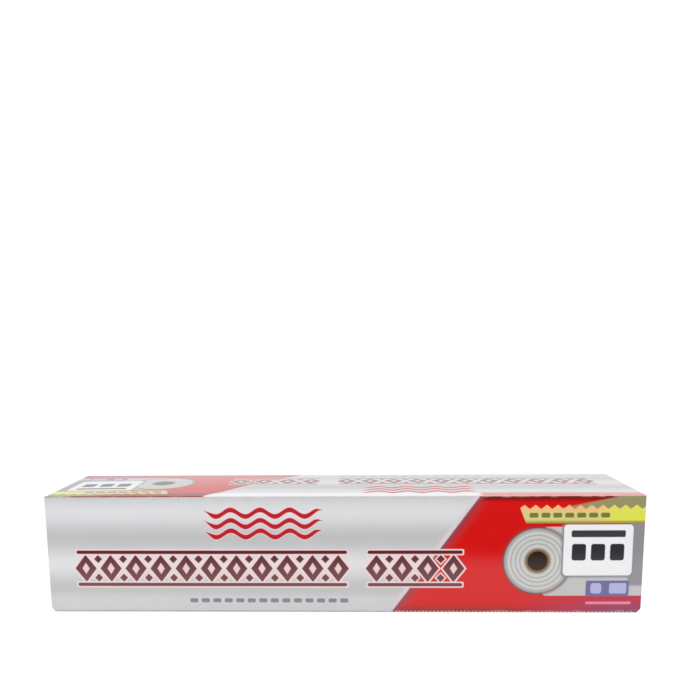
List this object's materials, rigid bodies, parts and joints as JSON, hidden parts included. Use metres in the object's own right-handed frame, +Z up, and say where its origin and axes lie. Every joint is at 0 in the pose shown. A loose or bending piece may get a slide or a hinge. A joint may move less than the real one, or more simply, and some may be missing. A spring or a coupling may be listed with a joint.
{
  "type": "foil dispenser carton",
  "caption": "Long printed card carton with a hinged lid and sawtooth cutting strip, holding a roll of aluminium foil on a card core.",
  "frame": {"origin": "middle of the carton's underside, on the surface it stands on", "axes": "+X along the carton to the right end seen from the front, -Y to the printed front, +Z up"},
  "size_m": [0.4636, 0.0886, 0.0942],
  "materials": {
    "printed_card": "gloss-coated printed folding boxboard",
    "tray_card": "grey-backed folding boxboard, printed outside",
    "foil": "bright rolled foil",
    "core_card": "spiral-wound brown card",
    "strip_steel": "tinned steel strip"
  },
  "bodies": {
    "tray": {"carton_tray": "tray_card", "foil_roll": "foil", "core_tube": "core_card"},
    "lid": {"carton_lid": "printed_card", "cutter_strip": "strip_steel"}
  },
  "joints": [
    {"name": "lid_crease", "type": "hinge", "parent": "tray", "child": "lid", "pos_m": [0, 0.0443, 0.0942], "axis": [-1, 0, 0], "range_deg": [0, 180]}
  ]
}
